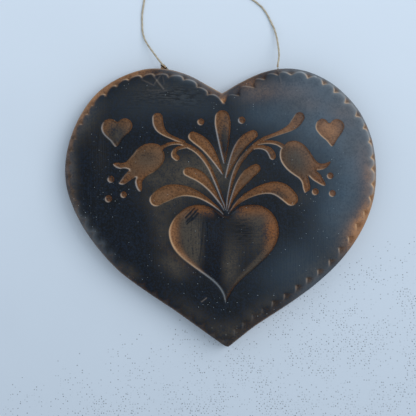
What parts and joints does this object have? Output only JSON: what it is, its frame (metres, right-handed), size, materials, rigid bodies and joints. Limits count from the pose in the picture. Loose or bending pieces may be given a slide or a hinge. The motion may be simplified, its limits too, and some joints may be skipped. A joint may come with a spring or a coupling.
{
  "type": "beeswax heart ornament",
  "caption": "Flat heart cast in blackened beeswax, with a sunk tulip and heart pattern, a scalloped border and a thread loop to hang it by.",
  "frame": {"origin": "middle of the flat back, on the surface that the heart lies on", "axes": "+Z out of the patterned face, +Y from the tip towards the notch and the loop, +X to the right of the pattern"},
  "size_m": [0.1164, 0.1571, 0.009],
  "materials": {
    "beeswax": null,
    "thread": "natural two-ply thread, unwaxed"
  },
  "bodies": {
    "ornament": {"wax_heart": "beeswax", "cord_end_left": "thread", "cord_end_right": "thread"},
    "loop": {"hanging_cord": "thread"}
  },
  "joints": [
    {"name": "loop_swing", "type": "hinge", "parent": "ornament", "child": "loop", "pos_m": [0.0004, 0.0523, 0.006], "axis": [1, 0, 0], "range_deg": [0, 90]}
  ]
}
